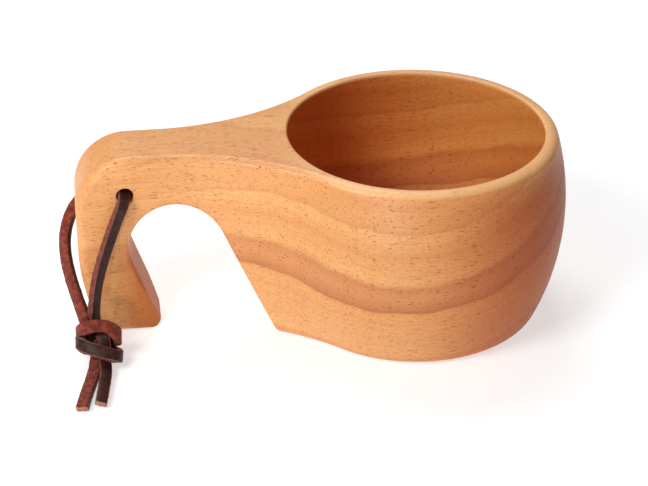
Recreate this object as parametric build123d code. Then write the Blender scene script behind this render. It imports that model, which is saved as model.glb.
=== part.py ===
"""Kuksa: a carved wooden drinking cup with a leather carrying thong.

Millimetres, +Z up. The origin is the centre of the bowl's flat base. The handle
points along -X and its top is level with the rim. The thong is looped through the
handle's hole, and its knot and tails lie on the -Y side of the leg, on the surface
that the cup stands on.
"""
import os
from math import acos, atan2, cos, hypot, pi, radians, sin, sqrt, tan

from build123d import *

# ---------------------------------------------------------------- driving dimensions
# Bowl
height = 58.0               # base to rim
belly_radius = 44.8         # outer radius where the bowl is fattest
belly_height = 34.0         # height of that fattest ring
belly_curve = 80.0          # radius of the outer wall's upright arc
mouth_radius = 37.5         # inside the rim
hollow_radius = 39.8        # inside, at belly height
floor_thickness = 7.5       # wood left under the hollow

# Handle: a straight bar that runs off the bowl, with a leg under its outer end
handle_top_width = 21.0
handle_foot_width = 18.4    # the sides lean in a little towards the foot
handle_end = -100.0         # x of the outer end
flank_curve = 60.0          # radius of the sweep where the handle flares into the bowl
end_top_radius = 16.0       # outer end seen from the side, top corner
end_curl_z = 28.0           # below this height the outer end curves in,
end_curl_x = -94.5          # to here at the foot
end_foot_radius = 3.0       # and there its corner is round
toe_corner_radius = 8.2     # the foot's two corners on the arch's side, seen from above

# Finger arch, seen from the side: a round top between two straight, leaning sides
arch_x = -71.0
arch_z = 28.2
arch_radius = 14.2
heel_x = -42.6              # where the bowl's base stops, under the arch
toe_x = -76.2               # where the leg's foot starts

# Hole for the thong, along Y
hole_x = -85.6
hole_z = 46.5
hole_diameter = 4.8

# Softened edges
outline_edge = 2.6          # rim, handle and leg, all round the outside
base_edge = 4.0             # round the bowl's base
arch_edge = 1.6             # round the finger arch
mouth_edge = 0.6            # inside of the rim
hole_edge = 0.4

# Thong: a square-cut leather lace, here a round tube as thick as the lace is wide
thong_diameter = 3.6
beside_hole = 13.4          # from the handle's middle plane to a strand beside the hole
tail_z = 1.9                # tails' centre line above the table
knot_size = (14.6, 11.0, 9.6)
knot_centre = (-95.6, -23.6, 5.8)
knot_tilt = 45.0            # the knot leans back, about X, towards the cup
knot_edge = 4.2

# The loop, from the knot up the near side, through the hole and back round the leg
loop_route = [
    (-96.2, -20.8, 8.9),
    (-95.0, -15.9, 20.6),
    (-90.6, -13.7, 34.0),
    (hole_x, -beside_hole, hole_z),
    (hole_x, beside_hole, hole_z),
    (-94.0, 13.4, 38.2),
    (-101.6, 12.4, 30.0),
    (-104.2, 5.6, 22.2),
    (-103.6, -3.6, 18.2),
    (-101.4, -12.4, 14.2),
    (-98.2, -20.3, 8.9),
]
left_tail_route = [
    (-97.3, -26.4, tail_z),
    (-99.4, -39.2, tail_z),
    (-101.2, -51.6, tail_z),
]
right_tail_route = [
    (-93.6, -26.4, tail_z),
    (-94.4, -38.4, tail_z),
    (-95.9, -50.3, tail_z),
]


# ---------------------------------------------------------------- the wooden cup
def bowl_wall_radius(z):
    """Outer radius of the bowl at a height."""
    return belly_radius - belly_curve + sqrt(belly_curve**2 - (z - belly_height) ** 2)


def bowl_outside():
    """Turned outside of the bowl: one long upright arc from base to rim."""
    base = (bowl_wall_radius(0), 0)
    rim = (bowl_wall_radius(height), height)
    wall = ThreePointArc(base, (belly_radius, belly_height), rim)
    rest = Polyline(rim, (0, height), (0, 0), base)
    return revolve(Plane.XZ * make_face([*wall.edges(), *rest.edges()]), Axis.Z)


def bowl_hollow():
    """Inside of the bowl: a slightly bellied wall, a round corner and a flat floor."""
    rise = height - belly_height
    bulge = hollow_radius - mouth_radius
    wall_curve = (rise**2 + bulge**2) / (2 * bulge)
    half_way = hollow_radius - wall_curve + sqrt(wall_curve**2 - (rise / 2) ** 2)
    corner_radius = belly_height - floor_thickness
    flat_radius = hollow_radius - corner_radius
    reach = corner_radius * sqrt(0.5)
    lip = (mouth_radius, height)
    belly = (hollow_radius, belly_height)
    floor = (flat_radius, floor_thickness)
    wall = ThreePointArc(lip, (half_way, belly_height + rise / 2), belly)
    corner = ThreePointArc(belly, (flat_radius + reach, belly_height - reach), floor)
    above = height + 1
    rest = Polyline(floor, (0, floor_thickness), (0, above), (mouth_radius, above), lip)
    outline = [*wall.edges(), *corner.edges(), *rest.edges()]
    return revolve(Plane.XZ * make_face(outline), Axis.Z)


def handle_half_width(z):
    """From the handle's middle plane to its side, at a height."""
    foot = handle_foot_width / 2
    return foot + (handle_top_width / 2 - foot) * z / height


def handle_bar():
    """Bar from the bowl's middle to the handle's outer end, whose two corners are round."""
    foot = handle_half_width(0)
    top = handle_half_width(height)
    section = Polyline((-foot, 0), (foot, 0), (top, height), (-top, height), close=True)
    bar = extrude(Plane.YZ * make_face(section.edges()), handle_end) & handle_side_view()
    for x, z, radius in (
        (handle_end, height, end_top_radius),
        (end_curl_x, 0, end_foot_radius),
    ):
        bar = fillet(edges_where(bar, lambda p: near(p, x, 0, z)), radius)
    return bar


def handle_side_view():
    """Block with the bar's outline seen from the side: its outer end curls in to the foot."""
    inward = end_curl_x - handle_end
    curl_radius = (end_curl_z**2 + inward**2) / (2 * inward)
    half_down = end_curl_z / 2
    half_way = handle_end + curl_radius - sqrt(curl_radius**2 - half_down**2)
    start = (handle_end, end_curl_z)
    curl = ThreePointArc(start, (half_way, half_down), (end_curl_x, 0))
    rest = Polyline((end_curl_x, 0), (0, 0), (0, height), (handle_end, height), start)
    face = Plane.XZ * make_face([*curl.edges(), *rest.edges()])
    return extrude(face, handle_top_width, both=True)


def arch_tangent(x, side):
    """Where a line from (x, 0) touches the arch's round top: side 1 right, -1 left."""
    distance = hypot(x - arch_x, arch_z)
    angle = atan2(-arch_z, x - arch_x) + side * acos(arch_radius / distance)
    return (arch_x + arch_radius * cos(angle), arch_z + arch_radius * sin(angle))


def below_table(x, tangent, depth=2.0):
    """Where an arch side, carried on down from (x, 0), is a little below the table."""
    return (x - depth * (tangent[0] - x) / tangent[1], -depth)


def finger_arch():
    """Opening for the fingers, from side to side under the handle."""
    right = arch_tangent(heel_x, 1)
    left = arch_tangent(toe_x, -1)
    top = ThreePointArc(right, (arch_x, arch_z + arch_radius), left)
    sides = Polyline(left, below_table(toe_x, left), below_table(heel_x, right), right)
    face = Plane.XZ * make_face([*top.edges(), *sides.edges()])
    return extrude(face, 2 * handle_top_width, both=True)


def edges_where(body, test):
    """Edges of a body whose middle point passes a test."""
    return [edge for edge in body.edges() if test(edge @ 0.5)]


def near(p, x, y, z):
    """True at a place."""
    return (p - Vector(x, y, z)).length < 0.1


def on_handle_side(p, tolerance):
    """On one of the handle's two flat sides."""
    return abs(abs(p.Y) - handle_half_width(p.Z)) < tolerance


def on_outline(p):
    """On the outer edge of the rim, handle top, handle end or foot."""
    on_rim = p.Z > height - 0.1 and hypot(p.X, p.Y) > mouth_radius + 1
    on_end = on_handle_side(p, 0.1) and p.X < arch_x - arch_radius
    return on_rim or (on_end and hypot(p.X - arch_x, p.Z - arch_z) > arch_radius + 1)


def cup_body():
    """Bowl, handle and leg, carved from one piece of wood."""
    body = bowl_outside() + handle_bar()
    flare = edges_where(body, lambda p: on_handle_side(p, 0.6) and p.X > handle_end / 2)
    body = fillet([edge for edge in flare if (edge @ 0.5).X < -mouth_radius], flank_curve)
    body -= finger_arch()
    body -= bowl_hollow()
    body = fillet(edges_where(body, on_outline), outline_edge)
    body = fillet(edges_where(body, lambda p: p.Z < 0.1 and p.X > heel_x + 1), base_edge)
    # The rounding of these two edges runs on up both sides of the arch and over its top.
    toe_and_heel = edges_where(body, lambda p: near(p, toe_x, 0, 0) or near(p, heel_x, 0, 0))
    body = fillet(toe_and_heel, arch_edge)
    mouth = edges_where(body, lambda p: near(p, -mouth_radius, 0, height))
    body = fillet(mouth, mouth_edge)
    hole = Plane.XZ * (Pos(hole_x, hole_z) * Circle(hole_diameter / 2))
    body -= extrude(hole, handle_top_width, both=True)
    reach = hole_diameter / 2 + 0.1
    hole_mouths = edges_where(
        body, lambda p: hypot(p.X - hole_x, p.Z - hole_z) < reach and on_handle_side(p, 0.2)
    )
    return fillet(hole_mouths, hole_edge) - toe_corner(1) - toe_corner(-1)


def toe_corner(side):
    """Wood cut off one corner of the foot, on the arch's side; side is 1 or -1 along Y."""
    radius = toe_corner_radius
    middle_x = toe_x - radius
    middle_y = handle_half_width(arch_z / 2) - radius
    square = Pos(middle_x, middle_y) * Rectangle(2 * radius, 2 * radius, align=Align.MIN)
    corner = square - Pos(middle_x, middle_y) * Circle(radius)
    cut = Pos(0, 0, -1) * extrude(corner, arch_z)
    return cut if side > 0 else mirror(cut, Plane.XZ)


# ---------------------------------------------------------------- the leather thong
def corner_radii(route):
    """Radius of the bend at each inner point of a route.

    Beside the hole the lace folds over the wood, with a radius of its own thickness.
    """
    radii = []
    for before, corner, after in zip(route, route[1:], route[2:]):
        run_in = Vector(*corner) - Vector(*before)
        run_out = Vector(*after) - Vector(*corner)
        turn = radians(run_in.get_angle(run_out))
        shorter = min(run_in.length, run_out.length)
        fold = corner[0] == hole_x
        radii.append(thong_diameter if fold else 0.45 * shorter / tan(turn / 2))
    return radii


def lace(route, name):
    """Round tube along a route of straight runs and tangent arcs."""
    radii = corner_radii(route)
    path = FilletPolyline(*route, radius=radii)
    section = Plane(path @ 0, z_dir=path % 0) * Circle(thong_diameter / 2)
    tube = sweep(section, path)
    expected = pi * thong_diameter**2 / 4 * path.length
    print(name, "radii", [round(radius, 1) for radius in radii])
    print(name, "length", round(path.length, 1), "volume ratio", round(tube.volume / expected, 4))
    return tube


def knot():
    """Outer shape of the pulled-up knot."""
    block = Pos(*knot_centre) * Rot(X=knot_tilt) * Box(*knot_size)
    return fillet(block.edges(), knot_edge)


def main():
    """Write every sub-part."""
    os.makedirs("parts", exist_ok=True)
    export_step(cup_body(), "parts/cup_body.step")
    export_step(lace(loop_route, "loop"), "parts/thong_loop.step")
    export_step(knot(), "parts/thong_knot.step")
    export_step(lace(left_tail_route, "left tail"), "parts/thong_tail_left.step")
    export_step(lace(right_tail_route, "right tail"), "parts/thong_tail_right.step")


main()
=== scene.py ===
"""Kuksa: a carved wooden cup with a leather thong, on a pale table under soft light.

Places and sizes on the cup and the lace are in millimetres. The camera, the lights and the
floor are in metres, as the frame is.
"""
import math
import random

import bmesh
import bpy
from mathutils import Matrix, Vector, noise


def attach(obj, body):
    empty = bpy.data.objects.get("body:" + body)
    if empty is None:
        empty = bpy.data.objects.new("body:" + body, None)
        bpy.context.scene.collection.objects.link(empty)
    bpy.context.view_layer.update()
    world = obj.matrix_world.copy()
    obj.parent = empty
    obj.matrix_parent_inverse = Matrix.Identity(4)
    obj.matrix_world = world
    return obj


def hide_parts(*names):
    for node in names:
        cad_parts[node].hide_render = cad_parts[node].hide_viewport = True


MM = 0.001

# ---------------------------------------------------------------- the frame
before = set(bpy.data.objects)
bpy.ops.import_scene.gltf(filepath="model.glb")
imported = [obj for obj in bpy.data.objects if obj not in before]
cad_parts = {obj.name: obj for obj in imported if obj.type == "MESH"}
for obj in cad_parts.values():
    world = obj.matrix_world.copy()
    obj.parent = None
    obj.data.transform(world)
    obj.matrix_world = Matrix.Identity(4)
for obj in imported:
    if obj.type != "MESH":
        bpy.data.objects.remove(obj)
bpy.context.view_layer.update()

# ---------------------------------------------------------------- camera, light, floor
CAMERA_PLACE = Vector((-0.09017, -0.51412, 0.32195))
CAMERA_FORWARD = Vector((0.1054, 0.8583, -0.5023)).normalized()
CAMERA_LENS = 111.1
SENSOR_WIDTH = 36.0

LIGHT_TARGET = (-0.02, 0.0, 0.03)
ROOM_STRENGTH = 0.18

FLOOR_SIZE = 6
FLOOR_GREY = 0.6
FLOOR_GLOW = 0.58


def make_camera():
    """Camera where the photographer stood: left of the handle's axis, 30 degrees up."""
    data = bpy.data.cameras.new("camera")
    data.lens = CAMERA_LENS
    data.sensor_width = SENSOR_WIDTH
    camera = bpy.data.objects.new("camera", data)
    bpy.context.collection.objects.link(camera)
    right = CAMERA_FORWARD.cross(Vector((0, 0, 1))).normalized()
    up = right.cross(CAMERA_FORWARD)
    turn = Matrix((right, up, -CAMERA_FORWARD)).transposed()
    camera.matrix_world = Matrix.Translation(CAMERA_PLACE) @ turn.to_4x4()
    bpy.context.scene.camera = camera


def area_light(name, place, size, power):
    """Square soft light at a place, turned to the cup."""
    data = bpy.data.lights.new(name, "AREA")
    data.size = size
    data.energy = power
    light = bpy.data.objects.new(name, data)
    bpy.context.collection.objects.link(light)
    light.location = place
    light.rotation_mode = "QUATERNION"
    aim = Vector(LIGHT_TARGET) - Vector(place)
    light.rotation_quaternion = aim.to_track_quat("-Z", "Y")


def make_lights():
    """Key light from the front left, a low one further left than the camera, one from behind
    the cup, and a faint even light from the whole room."""
    world = bpy.data.worlds.new("room")
    world.use_nodes = True
    background = world.node_tree.nodes["Background"]
    background.inputs["Color"].default_value = (1, 1, 1, 1)
    background.inputs["Strength"].default_value = ROOM_STRENGTH
    bpy.context.scene.world = world
    area_light("key", (-0.44, -0.35, 0.52), 0.26, 3.3)
    area_light("low", (-0.42, -0.85, 0.075), 0.12, 2.0)
    area_light("back", (-0.15, 0.6, 0.95), 0.7, 6.8)


def make_floor():
    """Plain pale table top, which glows a little so that shadows stay faint."""
    bpy.ops.mesh.primitive_plane_add(size=FLOOR_SIZE)
    floor = bpy.context.object
    floor.name = "floor"
    material = bpy.data.materials.new("pale_floor")
    material.use_nodes = True
    shader = material.node_tree.nodes["Principled BSDF"]
    shader.inputs["Base Color"].default_value = (FLOOR_GREY, FLOOR_GREY, FLOOR_GREY, 1)
    shader.inputs["Roughness"].default_value = 0.9
    shader.inputs["Specular IOR Level"].default_value = 0.0
    shader.inputs["Emission Color"].default_value = (1, 1, 1, 1)
    shader.inputs["Emission Strength"].default_value = FLOOR_GLOW
    floor.data.materials.append(material)


# ---------------------------------------------------------------- material nodes
def linear(right_shade, green, blue):
    """Shader colour for an 8-bit screen colour."""
    channels = [value / 255 for value in (right_shade, green, blue)]
    curve = [v / 12.92 if v <= 0.04045 else ((v + 0.055) / 1.055) ** 2.4 for v in channels]
    return (*curve, 1)


class Nodes:
    """A new material, and short ways to make and join its nodes."""

    def __init__(self, name):
        self.material = bpy.data.materials.new(name)
        self.material.use_nodes = True
        self.tree = self.material.node_tree
        self.shader = self.tree.nodes["Principled BSDF"]

    def join(self, source, target):
        """Feed a socket from another socket, or set it to a constant."""
        if isinstance(source, bpy.types.NodeSocket):
            self.tree.links.new(source, target)
        else:
            target.default_value = source

    def shade(self, **values):
        """Feed the shader's inputs, named with _ for a space: Base_Color, Roughness, Normal."""
        for name, value in values.items():
            self.join(value, self.shader.inputs[name.replace("_", " ")])

    def node(self, kind, inputs=(), **settings):
        """New node with its settings and inputs; inputs are (name or number, value) pairs."""
        node = self.tree.nodes.new(kind)
        for key, value in settings.items():
            setattr(node, key, value)
        for key, value in inputs:
            self.join(value, node.inputs[key])
        return node

    def math(self, operation, a, b):
        """One step of arithmetic."""
        return self.node("ShaderNodeMath", [(0, a), (1, b)], operation=operation).outputs[0]

    def plus(self, first, *others):
        """Sum of sockets and numbers."""
        for other in others:
            first = self.math("ADD", first, other)
        return first

    def times(self, first, *others):
        """Product of sockets and numbers."""
        for other in others:
            first = self.math("MULTIPLY", first, other)
        return first

    def minus(self, a, b):
        """Difference of two sockets or numbers."""
        return self.math("SUBTRACT", a, b)

    def scaled(self, vector, scale):
        """Vector times (x, y, z)."""
        inputs = [(0, vector), (1, scale)]
        return self.node("ShaderNodeVectorMath", inputs, operation="MULTIPLY").outputs[0]

    def dot(self, vector, direction):
        """Dot product of a vector and a fixed direction."""
        inputs = [(0, vector), (1, direction)]
        node = self.node("ShaderNodeVectorMath", inputs, operation="DOT_PRODUCT")
        return node.outputs["Value"]

    def length(self, vector):
        """Length of a vector."""
        node = self.node("ShaderNodeVectorMath", [(0, vector)], operation="LENGTH")
        return node.outputs["Value"]

    def parts(self, vector):
        """The x, y and z of a vector."""
        return self.node("ShaderNodeSeparateXYZ", [("Vector", vector)]).outputs

    def noise(self, vector, cells, detail=2.0, roughness=0.5):
        """Smooth noise with a number of cells in a millimetre: one for all ways, or (x, y, z)."""
        if isinstance(cells, tuple):
            vector = self.scaled(vector, cells)
            cells = 1.0
        inputs = [
            ("Vector", vector),
            ("Scale", cells),
            ("Detail", detail),
            ("Roughness", roughness),
        ]
        return self.node("ShaderNodeTexNoise", inputs).outputs[0]

    def step(self, value, start, end):
        """0 where the value is at start, 1 where it is at end, smooth between them."""
        inputs = [("Value", value), ("From Min", start), ("From Max", end)]
        node = self.node("ShaderNodeMapRange", inputs, interpolation_type="SMOOTHSTEP")
        return node.outputs[0]

    def ramp(self, factor, stops):
        """Colour ramp from (place, 8-bit colour) stops."""
        node = self.node("ShaderNodeValToRGB", [("Fac", factor)])
        elements = node.color_ramp.elements
        while len(elements) < len(stops):
            elements.new(0.5)
        for element, (place, colour) in zip(elements, stops):
            element.position = place
            element.color = linear(*colour)
        return node.outputs[0]

    def mix(self, factor, a, b, blend="MIX"):
        """Mix of two colours."""
        inputs = [(0, factor), (6, a), (7, b)]
        node = self.node("ShaderNodeMix", inputs, data_type="RGBA", blend_type=blend)
        return node.outputs[2]

    def stain(self, colour, where, strength, stain):
        """A colour with an 8-bit colour laid over it where a mask is 1."""
        return self.mix(self.times(where, strength), colour, linear(*stain))

    def tint(self, colour, where, tint):
        """A colour multiplied by an 8-bit colour where a mask is 1."""
        return self.mix(where, colour, linear(*tint), "MULTIPLY")

    def bump(self, height, strength, distance, normal=None):
        """Bumped normal, over another normal if one is given; distance is in metres."""
        inputs = [("Height", height), ("Strength", strength), ("Distance", distance)]
        if normal is not None:
            inputs.append(("Normal", normal))
        return self.node("ShaderNodeBump", inputs).outputs[0]

    def millimetres(self):
        """Object coordinates in millimetres."""
        coordinates = self.node("ShaderNodeTexCoord").outputs["Object"]
        return self.scaled(coordinates, (1 / MM, 1 / MM, 1 / MM))


# ---------------------------------------------------------------- wood
# The growth layers are almost flat sheets, tilted up to the right and to the far side.
# Inside the bowl they bend the other way.
LAYER_SLOPE = (-0.161, -0.36, 1.0)
HOLLOW_BEND = (0.1, 0.86, 0.0)
WAVE_HEIGHT = 7.0
RIPPLE_HEIGHT = 3.4

# A fade is (where its mask is 0, where it is 1), in millimetres. These three bound the hollow:
# distance from the bowl's axis, and height at its mouth and at its floor.
HOLLOW_WALL = (40.1, 39.9)
HOLLOW_MOUTH = (57.6, 56.8)
HOLLOW_FLOOR = (6.8, 7.2)

# Colour across the layers: (distance along the layers' normal in mm, 8-bit colour)
PALE = (236, 176, 110)
TAN = (230, 163, 98)
LINE = (222, 154, 90)
BAND = (204, 130, 74)
LAYER_LOW, LAYER_HIGH = -40.0, 100.0
LAYERS = [
    (-40, TAN),
    (-24, PALE),
    (-22.5, LINE),
    (-20, TAN),
    (-4, TAN),
    (-3, LINE),
    (-1, PALE),
    (14, TAN),
    (16, LINE),
    (18, PALE),
    (37.6, TAN),
    (38.6, (172, 98, 50)),
    (40.4, (202, 128, 72)),
    (43.5, (214, 144, 88)),
    (47.4, BAND),
    (49.2, PALE),
    (55.5, TAN),
    (56.6, LINE),
    (58.2, TAN),
    (62.4, PALE),
    (63.4, LINE),
    (65.4, TAN),
    (69.0, TAN),
    (70.2, LINE),
    (71.4, TAN),
    (77.0, PALE),
    (78.2, LINE),
    (80.0, TAN),
]

# Pore sizes: (cells in a millimetre along x, y and z, largest radius in cells, strength)
PORES = [
    ((0.17, 1.15, 1.15), 0.24, 0.65),
    ((0.4, 1.9, 1.9), 0.28, 0.65),
    ((0.9, 3.2, 3.2), 0.28, 0.5),
]
PORE_FADE = (0.07, -0.03)   # across a pore's edge, in cells
PORE_COLOUR = (146, 72, 34)

# Fades across the red-brown band's lower and upper edge, where pores are this much stronger
BAND_LOWER, BAND_UPPER = (38.0, 41.0), (50.0, 47.5)
BAND_PORES = 0.25

# Growth lines, fibres, speckle and patches: (fade of the noise, strength, 8-bit colour)
RING_TONE = (0.45, 0.72), 0.6, (212, 142, 80)
FIBRE_TONE = (0.45, 0.75), 0.5, (204, 130, 68)
SPECKLE_TONE = (0.45, 0.75), 0.35, (192, 118, 64)
PATCH_TONE = (0.45, 0.75), 0.35, (222, 150, 92)

# Fades along x and z for the cup's tone changes and for its painted shade
EVEN_END_X = (-45.0, -75.0)
RIGHT_SHADE_X, RIGHT_SHADE_Z = (-12.0, 36.0), (62.0, 48.0)
DARK_X, DARK_Z = (-58.0, -8.0), (58.0, 54.0)
RIM_X, RIM_Z = (-45.0, -20.0), (56.4, 57.6)
LEG_OUTER_X, LEG_INNER_X, LEG_Z = (-92.0, -82.0), (-66.0, -74.0), (34.0, 22.0)
# The hollow's painted shade: its fade across x, and its fade towards the floor
HOLLOW_SHADE_X = (-25.0, 30.0)
DEEP_SHADE_Z = (34.0, 14.0)


def inside_bowl(wood, place):
    """Mask of the turned hollow: 1 inside the wall, over the floor and under the rim."""
    z = wood.parts(place)[2]
    out = wood.length(wood.scaled(place, (1, 1, 0)))
    wall = wood.step(out, *HOLLOW_WALL)
    return wood.times(wall, wood.step(z, *HOLLOW_MOUTH), wood.step(z, *HOLLOW_FLOOR))


def growth_layer(wood, place, hollow):
    """Distance along the layers' normal, with a slow wander and a finer ripple."""
    waves = wood.noise(place, (0.010, 0.024, 0.024), detail=1.0)
    ripple = wood.noise(place, (0.05, 0.16, 0.16), detail=3.0)
    wander = wood.times(wood.minus(waves, 0.5), WAVE_HEIGHT)
    wander = wood.plus(wander, wood.times(wood.minus(ripple, 0.5), RIPPLE_HEIGHT))
    turned = wood.times(hollow, wood.dot(place, HOLLOW_BEND))
    return wood.plus(wood.dot(place, LAYER_SLOPE), turned, wander)


def layered_colour(wood, layer, x):
    """Colour across the layers, evened out towards the handle's outer end."""
    span = LAYER_HIGH - LAYER_LOW
    factor = wood.math("DIVIDE", wood.minus(layer, LAYER_LOW), span)
    colour = wood.ramp(factor, [((at - LAYER_LOW) / span, tone) for at, tone in LAYERS])
    return wood.stain(colour, wood.step(x, *EVEN_END_X), 0.6, TAN)


def grained(wood, colour, place, layer, fibre, speckle):
    """A colour with thin growth lines, fibres, fine speckle and slow patches of tone."""
    stacked = wood.node("ShaderNodeCombineXYZ", [("Z", layer)]).outputs[0]
    rings = wood.noise(stacked, 0.8, detail=3.0, roughness=0.6)
    patch = wood.noise(place, (0.03, 0.07, 0.07))
    tones = (rings, RING_TONE), (fibre, FIBRE_TONE), (speckle, SPECKLE_TONE), (patch, PATCH_TONE)
    for noise_value, (fade, strength, tone) in tones:
        colour = wood.stain(colour, wood.step(noise_value, *fade), strength, tone)
    return colour


def pored(wood, colour, place, layer, speckle):
    """A colour with pores, and their mask: strokes along the grain, dots across it."""
    in_band = wood.times(wood.step(layer, *BAND_LOWER), wood.step(layer, *BAND_UPPER))
    holes = 0.0
    for cells, largest, strength in PORES:
        pore = wood.node("ShaderNodeTexVoronoi", [("Vector", wood.scaled(place, cells))])
        pore.inputs["Scale"].default_value = 1.0
        size = wood.parts(pore.outputs["Color"])[0]
        depth = wood.minus(pore.outputs["Distance"], wood.times(size, largest))
        hole = wood.step(depth, *PORE_FADE)
        strength = wood.plus(wood.times(in_band, BAND_PORES), strength)
        strength = wood.times(strength, wood.step(speckle, 0.3, 0.6))
        colour = wood.stain(colour, hole, strength, PORE_COLOUR)
        holes = wood.math("MAXIMUM", hole, holes)
    return colour, holes


def stains_and_painted_shade(wood, colour, place, hollow):
    """A colour with tone changes and painted shade, and the mask where its shine is lowered.

    Painted shade makes the bowl's right darker and redder, and the hollow darker, most on its
    left and deep inside. The colour is also darker and redder low on the leg, paler on the
    rim's top, and a little darker from the handle's root to the right.
    """
    x, y, z = wood.parts(place)
    outside = wood.minus(1.0, hollow)
    # Painted shade: darker and redder on the bowl's right side, turned away from the key light.
    right_shade = wood.times(wood.step(x, *RIGHT_SHADE_X), wood.step(z, *RIGHT_SHADE_Z), 0.9, outside)
    colour = wood.tint(colour, right_shade, (255, 196, 150))
    colour = wood.stain(colour, right_shade, 0.6, (148, 70, 32))
    dark = wood.times(wood.step(x, *DARK_X), outside, wood.step(z, *DARK_Z))
    colour = wood.tint(colour, dark, (240, 233, 226))
    rim = wood.times(wood.step(x, *RIM_X), wood.step(z, *RIM_Z))
    colour = wood.stain(colour, rim, 0.5, (253, 205, 146))
    leg = wood.times(wood.step(x, *LEG_OUTER_X), wood.step(z, *LEG_Z))
    leg = wood.times(leg, wood.step(x, *LEG_INNER_X))
    colour = wood.stain(colour, leg, 0.8, (172, 92, 42))
    # Painted shade in the hollow, darker to the left, where the key light does not reach.
    hollow_shade = wood.mix(wood.step(x, *HOLLOW_SHADE_X), linear(236, 190, 140), linear(255, 244, 200))
    colour = wood.mix(hollow, colour, hollow_shade, "MULTIPLY")
    # Painted shade deep in the hollow, darker towards its floor.
    deep_shade = wood.times(hollow, wood.step(z, *DEEP_SHADE_Z))
    colour = wood.stain(colour, deep_shade, 0.5, (160, 78, 36))
    return colour, wood.math("MAXIMUM", right_shade, leg)


def wood_material():
    """Oiled rubberwood: broad layers, one red-brown band, dark pores along the grain."""
    wood = Nodes("oiled_wood")
    place = wood.millimetres()
    hollow = inside_bowl(wood, place)
    layer = growth_layer(wood, place, hollow)
    fibre = wood.noise(place, (0.07, 1.6, 1.6), detail=3.0, roughness=0.65)
    speckle = wood.noise(place, (0.9, 3.0, 3.0), roughness=0.6)
    colour = layered_colour(wood, layer, wood.parts(place)[0])
    colour = grained(wood, colour, place, layer, fibre, speckle)
    colour, holes = pored(wood, colour, place, layer, speckle)
    colour, dull = stains_and_painted_shade(wood, colour, place, hollow)
    rough = wood.plus(wood.times(fibre, 0.16), 0.34)
    rough = wood.plus(rough, wood.times(holes, 0.25), wood.times(hollow, 0.3))
    shine = wood.minus(0.5, wood.times(dull, 0.4))
    grain_bump = wood.bump(fibre, 0.25, 0.00012)
    pore_bump = wood.bump(wood.minus(1.0, holes), 0.5, 0.0001, grain_bump)
    wood.shade(Base_Color=colour, Roughness=rough, Specular_IOR_Level=shine, Normal=pore_bump)
    return wood.material


def paint(node_name, material):
    """Give a CAD node one material."""
    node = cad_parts[node_name]
    for slot in node.material_slots:
        slot.link = "OBJECT"
        slot.material = material


# ---------------------------------------------------------------- the leather thong
# The lace is one strap. It is made as two halves that start in the middle of the handle's
# hole: the near half comes out towards the camera, the far half goes round the leg's end.
LACE_WIDTH = 3.6
LACE_THICKNESS = 2.4
LACE_CORNER = 0.28          # cut off each corner of the section
SECTION_STEPS = 4           # points along each flat of the section
END_SLANT = 0.5             # how far a cut end leans along the lace, as a share of its height
WOBBLE, WOBBLE_CELLS = 0.07, 0.55   # the skin's unevenness: its depth, cells in a millimetre
GRIT, GRIT_CELLS = 0.05, 2.2        # the skin's grit, twice as deep on suede
FIBRE_RADIUS = 0.05
FIBRE_LENGTHS = (0.2, 0.7)
FIBRE_LEAN = 0.8
FIBRE_CLEARANCE = 0.1       # above the table
KNOT_CENTRE = Vector((-95.6, -23.6, 5.8))
KNOT_UP = Vector((0, 1, 1)).normalized()
KNOT_OUT = Vector((0, -1, 1)).normalized()

# The strap's materials, by number; the third is the face's scuffed edges with a painted highlight
FINISHED, SUEDE, EDGE_WEAR_AND_HIGHLIGHT, CUT = range(4)


def in_knot(right, up, out):
    """Point or direction given along the knot's own axes, in millimetres."""
    return Vector((right, 0, 0)) + up * KNOT_UP + out * KNOT_OUT


def knot_point(right, up, out, face, size=1.0):
    """Control point inside the knot, with the way that the finished face looks."""
    return (KNOT_CENTRE + in_knot(right, up, out), in_knot(*face), size)


def free_point(place, face, size=1.0):
    """Control point outside the knot."""
    return (Vector(place), Vector(face), size)


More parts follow.
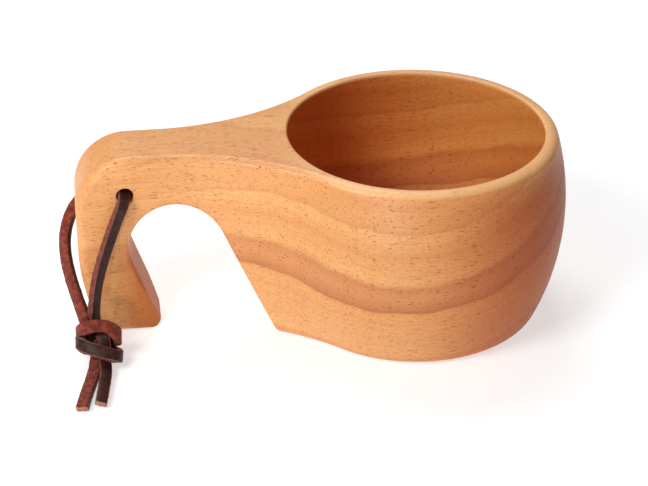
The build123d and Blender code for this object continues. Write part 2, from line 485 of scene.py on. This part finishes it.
NEAR_HALF = [
    free_point((-85.8, 0.0, 46.5), (0.2, 0, 1), 0.9),
    free_point((-85.8, -6.0, 46.5), (0.2, 0, 1), 0.9),
    free_point((-85.8, -11.3, 46.6), (0.25, -0.3, 1), 0.9),
    free_point((-86.6, -12.6, 44.4), (0.35, -1, 0.3), 0.9),
    free_point((-88.6, -12.8, 40.0), (0.4, -1, 0), 0.9),
    free_point((-90.9, -13.3, 34.0), (0.45, -1, 0), 0.92),
    free_point((-93.4, -14.3, 27.2), (0.55, -1, 0), 0.92),
    free_point((-95.4, -15.9, 20.6), (0.75, -1, 0), 0.92),
    free_point((-96.6, -18.2, 13.6), (0.8, -1, 0.2), 0.92),
    knot_point(-0.9, 6.4, -0.6, (0.6, 0, 1)),
    knot_point(-0.8, 3.4, -1.4, (0, 0, 1)),
    knot_point(-1.2, 0.4, -2.4, (0, 0, 1)),
    knot_point(-3.2, -0.6, -3.4, (-0.6, 0, -0.6)),
    knot_point(-5.2, 0.4, -2.6, (-1, 0, -0.3)),
    knot_point(-5.7, 1.2, -0.2, (-1, 0, 0.2)),
    knot_point(-4.9, -0.6, 2.9, (-0.7, 0, 0.7)),
    knot_point(-2.4, -2.4, 4.4, (-0.2, 0, 1)),
    knot_point(0.2, -3.4, 4.7, (0, 0, 1)),
    knot_point(2.4, -4.2, 4.4, (0.2, 0, 1)),
    knot_point(4.6, -4.8, 3.2, (0.6, 0, 0.8)),
    knot_point(5.8, -4.4, 0.8, (1, -0.2, 0.2)),
    knot_point(5.0, -2.8, -2.2, (0.7, 0, -0.7)),
    knot_point(2.4, -0.9, -3.8, (0.2, 0, -1)),
    knot_point(-0.4, 0.4, -3.4, (-0.5, 0, -0.4)),
    knot_point(-0.9, 2.2, -1.2, (-1, 0, 0.6)),
    knot_point(0.5, 3.3, 0.8, (-0.4, 0, 1)),
    knot_point(1.5, 1.4, 2.2, (0, 0.2, 1)),
    knot_point(1.6, -1.0, 2.0, (0, 0, 1)),
    knot_point(1.5, -4.0, 0.6, (0.1, 0, 1)),
    free_point((-94.3, -28.4, 2.3), (0.35, -0.2, 1)),
    free_point((-94.1, -32.2, 1.8), (0.25, 0, 1)),
    free_point((-94.5, -37.6, 1.7), (0.25, 0, 1), 0.95),
    free_point((-95.2, -43.2, 1.7), (0.25, 0, 1), 0.95),
    free_point((-95.9, -48.4, 1.7), (0.25, 0, 1), 0.95),
]
FAR_HALF = [
    free_point((-85.8, 0.0, 46.5), (0.2, 0, 1), 0.9),
    free_point((-85.8, 6.0, 46.5), (0.2, 0, 1), 0.9),
    free_point((-85.9, 11.4, 46.4), (0.2, 0.3, 1), 0.9),
    free_point((-87.6, 13.2, 44.2), (-0.1, 1, 0.4), 0.92),
    free_point((-93.6, 13.4, 38.6), (0.1, 1, 0), 0.92),
    free_point((-100.8, 12.4, 32.6), (0.3, 0.95, -0.2), 0.92),
    free_point((-103.7, 8.6, 26.0), (0.6, 0.7, -0.5), 0.9),
    free_point((-104.1, 3.4, 21.8), (0.65, 0.5, -0.7), 0.9),
    free_point((-103.2, -3.4, 18.6), (0.65, 0.45, -0.75), 0.9),
    free_point((-101.7, -9.6, 15.8), (0.65, 0.45, -0.75), 0.9),
    free_point((-100.2, -15.0, 13.0), (0.6, 0.5, -0.8), 0.9),
    knot_point(-3.2, 6.4, 0.0, (0.6, 0.2, -0.8)),
    knot_point(-2.6, 4.4, -1.6, (0, 0, -1)),
    knot_point(-2.8, 3.2, -3.2, (0.3, 0, 1)),
    knot_point(-4.6, 3.2, -3.2, (0.8, 0, 0.5)),
    knot_point(-5.5, 3.6, -1.0, (1, 0, 0.1)),
    knot_point(-4.9, 3.7, 2.2, (0.8, 0, -0.6)),
    knot_point(-3.0, 4.1, 4.1, (0.4, 0.1, -1)),
    knot_point(-0.6, 4.4, 4.7, (0, 0.2, -1)),
    knot_point(2.4, 4.1, 4.5, (-0.3, 0.3, -1)),
    knot_point(4.9, 2.7, 3.2, (-0.8, 0.2, -0.6)),
    knot_point(5.7, 0.9, 0.6, (-1, 0, 0)),
    knot_point(4.7, 1.4, -2.6, (-0.7, 0, 0.7)),
    knot_point(1.8, 2.4, -3.8, (-0.1, 0, 1)),
    knot_point(-0.8, 1.8, -2.8, (0.2, 0, 1)),
    knot_point(-0.8, -0.8, -1.4, (0, 0, -1)),
    knot_point(-0.7, -3.6, -0.6, (0, 0, -1)),
    free_point((-96.7, -27.6, 2.5), (0, 0.2, -1)),
    free_point((-97.4, -32.2, 1.6), (0, 0, -1), 0.95),
    free_point((-98.7, -38.2, 1.5), (0, 0, -1), 0.95),
    free_point((-100.1, -44.2, 1.5), (0.1, 0, -1), 0.95),
    free_point((-101.2, -49.9, 1.5), (0.1, 0, -1), 0.95),
]


def smooth_line(points):
    """Points along the NURBS spline that has these control points."""
    data = bpy.data.curves.new("line", "CURVE")
    data.dimensions = "3D"
    spline = data.splines.new("NURBS")
    spline.points.add(len(points) - 1)
    for control, point in zip(spline.points, points):
        control.co = (*point, 1)
    spline.order_u = 3
    spline.use_endpoint_u = True
    spline.resolution_u = 10
    curve = bpy.data.objects.new("line", data)
    mesh = bpy.data.meshes.new_from_object(curve)
    line = [vertex.co.copy() for vertex in mesh.vertices]
    bpy.data.objects.remove(curve)
    bpy.data.curves.remove(data)
    bpy.data.meshes.remove(mesh)
    return line


def lace_section(first_side):
    """Closed outline of the lace: (across, up, material) from its finished face round.

    first_side is the material of one cut side. On the far half that side is given the dark
    finished face's material, as painted shade on the side turned away from the light.
    """
    half, rise = LACE_WIDTH / 2, LACE_THICKNESS / 2
    flat, drop = half - LACE_CORNER, rise - LACE_CORNER
    shares = [1 - 2 * index / (SECTION_STEPS - 1) for index in range(SECTION_STEPS)]
    # The finished face's two edges are scuffed and lightened as a painted highlight.
    face = [(-share * flat, rise, FINISHED) for share in shares[:-1]] + [(flat, rise, EDGE_WEAR_AND_HIGHLIGHT)]
    first = [(half, share * drop, first_side) for share in shares[:-1]] + [(half, -drop, SUEDE)]
    back = [(share * flat, -rise, SUEDE) for share in shares]
    second = [(-half, -share * drop, SUEDE) for share in shares[:-1]] + [(-half, drop, EDGE_WEAR_AND_HIGHLIGHT)]
    return face + first + back + second


def add_fibres(mesh, rings, line, seed):
    """Loose hairs of suede: thin spikes on every second ring, but for those near the ends.

    They grow from both edges of the first cut side, and from the back.
    """
    chance = random.Random(seed)
    roots = [SECTION_STEPS, 2 * SECTION_STEPS - 1, 3 * SECTION_STEPS - 2]
    for index in range(6, len(rings) - 2, 2):
        root = rings[index][chance.choice(roots)].co
        away = (root - line[index] * MM).normalized()
        lean = Vector([chance.uniform(-1, 1) for axis in range(3)])
        tip = root + (away + FIBRE_LEAN * lean) * chance.uniform(*FIBRE_LENGTHS) * MM
        if tip.z < FIBRE_CLEARANCE * MM:
            continue
        across = away.cross(lean).normalized() * FIBRE_RADIUS * MM
        foot = [mesh.verts.new(root + turn) for turn in (across, -across, away.cross(across))]
        top = mesh.verts.new(tip)
        for first, second in ((0, 1), (1, 2), (2, 0)):
            mesh.faces.new((foot[first], foot[second], top)).material_index = SUEDE
        mesh.faces.new(reversed(foot)).material_index = SUEDE


def add_ring(mesh, section, centre, side, up, ahead, size, slant, seed):
    """One ring of the lace's skin, rough where it is suede, smoother on the finished face."""
    ring = []
    for across, rise, material in section:
        rough = 1 if material == FINISHED else 2
        place = centre + size * (across * side + rise * up) + slant * rise * ahead
        wobble = noise.noise(place * WOBBLE_CELLS + Vector((seed, 0, 0)))
        grit = noise.noise(place * GRIT_CELLS + Vector((0, seed, 0)))
        away = (place - centre).normalized() * (WOBBLE * wobble + GRIT * rough * grit)
        ring.append(mesh.verts.new((place + away) * MM))
    return ring


def lace_mesh(line, faces, sizes, section, slant, seed):
    """Skin of the lace along a line, with its finished face turned to the given directions.

    The last ring is the cut end, which leans along the lace by the slant.
    """
    mesh = bmesh.new()
    rings = []
    last = len(line) - 1
    for index, centre in enumerate(line):
        ahead = line[min(index + 1, last)] - line[max(index - 1, 0)]
        ahead.normalize()
        up = (faces[index] - faces[index].dot(ahead) * ahead).normalized()
        side = ahead.cross(up)
        end_slant = slant if index == last else 0.0
        size = sizes[index].x
        rings.append(add_ring(mesh, section, centre, side, up, ahead, size, end_slant, seed))
    for ring, after in zip(rings, rings[1:]):
        for index, point in enumerate(section):
            nearby = (index + 1) % len(section)
            face = mesh.faces.new((ring[index], ring[nearby], after[nearby], after[index]))
            face.material_index = point[2]
    mesh.faces.new(reversed(rings[0])).material_index = CUT
    mesh.faces.new(rings[-1]).material_index = CUT
    add_fibres(mesh, rings, line, seed)
    bmesh.ops.recalc_face_normals(mesh, faces=mesh.faces)
    return mesh


def lace(name, controls, materials, first_side, slant, seed):
    """Square-cut strap through control points, attached to the thong's body."""
    line = smooth_line([place for place, face, size in controls])
    faces = smooth_line([face.normalized() for place, face, size in controls])
    sizes = smooth_line([Vector((size, 0, 0)) for place, face, size in controls])
    mesh = lace_mesh(line, faces, sizes, lace_section(first_side), slant, seed)
    data = bpy.data.meshes.new(name)
    mesh.to_mesh(data)
    mesh.free()
    for material in materials:
        data.materials.append(material)
    piece = bpy.data.objects.new(name, data)
    bpy.context.collection.objects.link(piece)
    data.shade_smooth()
    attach(piece, "thong")
    return piece


def finished_leather():
    """Dark, worn, slightly shiny face of the lace."""
    face = Nodes("leather_finished")
    place = face.millimetres()
    grain = face.noise(place, 2.2, detail=4.0)
    wear = face.noise(place, 0.35, detail=3.0)
    colour = face.mix(face.step(wear, 0.42, 0.72), linear(42, 17, 14), linear(68, 36, 28))
    colour = face.stain(colour, face.step(grain, 0.5, 0.75), 0.4, (84, 48, 38))
    rough = face.plus(face.times(wear, 0.25), 0.38)
    bump = face.bump(grain, 0.3, 0.0001)
    face.shade(Base_Color=colour, Specular_IOR_Level=0.25, Roughness=rough, Normal=bump)
    return face.material


def suede_leather():
    """Red-brown suede of the lace's back and cut sides."""
    suede = Nodes("leather_suede")
    place = suede.millimetres()
    nap = suede.noise(place, 3.2, detail=5.0, roughness=0.7)
    blotch = suede.noise(place, 0.7, detail=3.0)
    colour = suede.mix(suede.step(blotch, 0.35, 0.7), linear(96, 30, 18), linear(148, 60, 36))
    colour = suede.stain(colour, suede.step(nap, 0.5, 0.75), 0.7, (186, 96, 62))
    suede.shade(Base_Color=colour, Roughness=0.95, Specular_IOR_Level=0.2)
    suede.shade(Sheen_Weight=0.12, Sheen_Roughness=0.6, Normal=suede.bump(nap, 0.9, 0.0004))
    return suede.material


def edge_wear_and_highlight_leather():
    """Scuffed edge of the finished face, lighter also as a painted highlight."""
    edge = Nodes("leather_edge_wear_and_highlight")
    scuff = edge.noise(edge.millimetres(), 1.4, detail=4.0)
    colour = edge.mix(edge.step(scuff, 0.35, 0.65), linear(84, 40, 32), linear(128, 74, 58))
    edge.shade(Base_Color=colour, Roughness=0.55)
    return edge.material


def cut_leather():
    """Pale fibres of a cut end."""
    cut = Nodes("leather_cut_end")
    fibres = cut.noise(cut.millimetres(), 2.5, detail=5.0)
    colour = cut.mix(cut.step(fibres, 0.35, 0.7), linear(128, 62, 46), linear(206, 150, 126))
    cut.shade(Base_Color=colour, Roughness=0.9)
    return cut.material


def make_thong():
    """Both halves of the lace, in place of the CAD model's tubes and block."""
    materials = [finished_leather(), suede_leather(), edge_wear_and_highlight_leather(), cut_leather()]
    near = lace("thong_near_half", NEAR_HALF, materials, SUEDE, END_SLANT, 3.0)
    # The far half's first cut side is dark as painted shade.
    far = lace("thong_far_half", FAR_HALF, materials, FINISHED, -END_SLANT, 8.0)
    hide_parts("thong_loop", "thong_knot", "thong_tail_right")
    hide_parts("thong_loop", "thong_knot", "thong_tail_left")


bpy.context.scene.view_settings.view_transform = "Standard"
make_camera()
make_lights()
make_floor()
paint("cup_body", wood_material())
make_thong()
